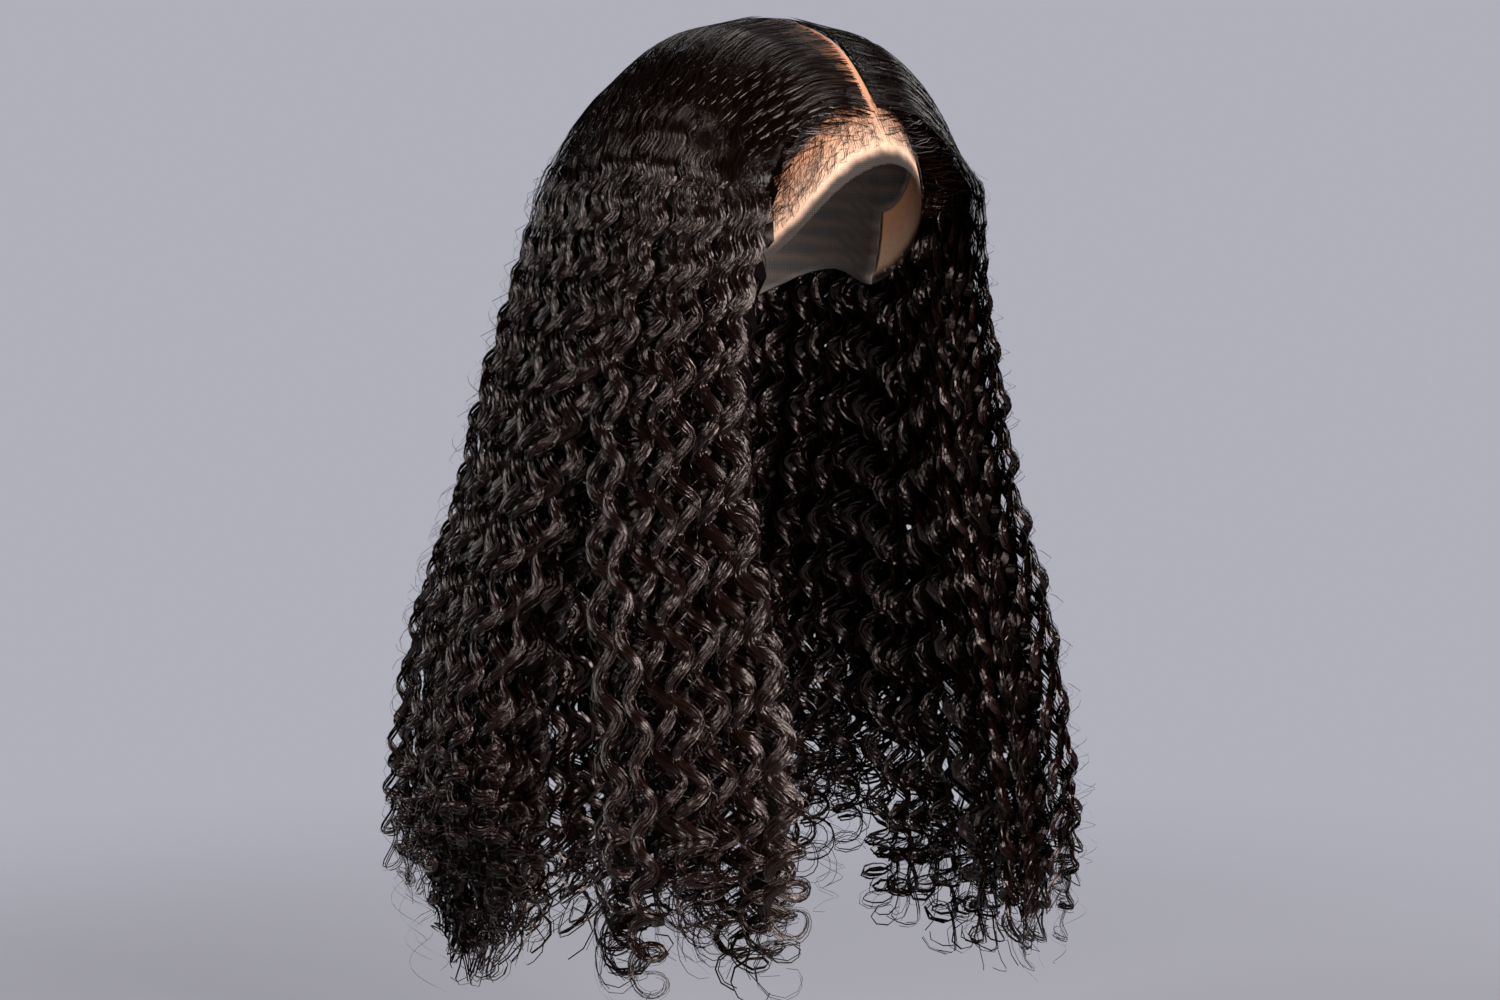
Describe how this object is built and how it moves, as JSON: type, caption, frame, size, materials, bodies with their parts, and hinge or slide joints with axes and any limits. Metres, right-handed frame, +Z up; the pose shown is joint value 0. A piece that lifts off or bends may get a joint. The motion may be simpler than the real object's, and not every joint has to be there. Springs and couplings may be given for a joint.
{
  "type": "curly lace-front wig",
  "caption": "Long curly wig with a sheer lace front, a centre parting and an open weft cap, worn on the head with the hair falling in front of and behind the shoulders.",
  "frame": {"origin": "crown seat: the middle of the cap's inner top, where the crown of the head meets it", "axes": "+Z up along the wearer's head, -Y the way the face opening looks, -X the wearer's right hand side"},
  "size_m": [0.4182, 0.3612, 0.5755],
  "materials": {
    "lace": "fine sheer net, peach to light brown, matt",
    "cap": "black elastic net with sewn rows of weft, matt",
    "hair": "brown-black curly hair, soft gloss"
  },
  "bodies": {
    "root": {"lace_front": "lace", "weft_cap": "cap", "hair_right_front": "hair", "hair_right_back": "hair", "hair_left_back": "hair", "hair_left_front": "hair"}
  },
  "joints": []
}
